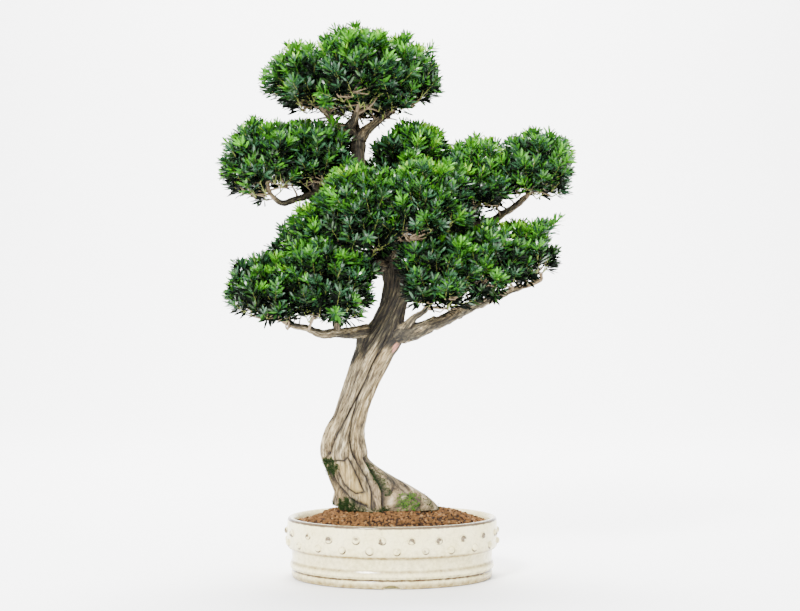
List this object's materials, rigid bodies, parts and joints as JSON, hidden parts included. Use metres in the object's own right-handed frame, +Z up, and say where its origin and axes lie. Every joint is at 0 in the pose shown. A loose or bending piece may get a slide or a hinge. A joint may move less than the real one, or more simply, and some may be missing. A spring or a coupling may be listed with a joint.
{
  "type": "potted bonsai tree",
  "caption": "Podocarpus bonsai with a leaning bare trunk and rounded clouds of narrow leaves, in an oval cream glazed pot with rows of studs.",
  "frame": {"origin": "centre of the pot's flat underside, on the surface that it stands on", "axes": "+Z up along the tree's height, -Y towards the viewer of the front, +X to that viewer's right"},
  "size_m": [0.4366, 0.257, 0.682],
  "materials": {
    "pot_glaze": "cream crackle glaze over stoneware, broken to brown along the rim",
    "soil": "loose granules of fired red-brown clay, 3 to 6 mm",
    "bark": "dry, pale grey-tan wood with long cracks, darker flaky bark higher up",
    "foliage": "glossy narrow leaves, deep green with bright young shoots"
  },
  "bodies": {
    "root": {"bough_apex_back": "bark", "bough_apex_left": "bark", "bough_apex_right": "bark", "bough_back_left": "bark", "bough_back_low_left": "bark", "bough_back_low_right": "bark", "bough_back_right": "bark", "bough_centre_front": "bark", "bough_centre_left": "bark", "bough_centre_top": "bark", "bough_far_left": "bark", "bough_left_lower": "bark", "bough_left_upper": "bark", "bough_right_lower": "bark", "bough_right_upper": "bark", "branch_apex_front": "bark", "branch_left_lower": "bark", "branch_left_upper": "bark", "branch_right_lower": "bark", "branch_right_lower_outer": "bark", "branch_right_upper": "bark", "foliage_apex_back": "foliage", "foliage_apex_front": "foliage", "foliage_apex_left": "foliage", "foliage_apex_right": "foliage", "foliage_back_left": "foliage", "foliage_back_low_left": "foliage", "foliage_back_low_right": "foliage", "foliage_back_right": "foliage", "foliage_centre_left": "foliage", "foliage_centre_right": "foliage", "foliage_centre_top": "foliage", "foliage_left_lower_inner": "foliage", "foliage_left_lower_outer": "foliage", "foliage_left_middle": "foliage", "foliage_left_upper_inner": "foliage", "foliage_left_upper_outer": "foliage", "foliage_right_lower_inner": "foliage", "foliage_right_lower_middle": "foliage", "foliage_right_lower_outer": "foliage", "foliage_right_upper_inner": "foliage", "foliage_right_upper_outer": "foliage", "pot": "pot_glaze", "soil": "soil", "trunk": "bark"}
  },
  "joints": []
}
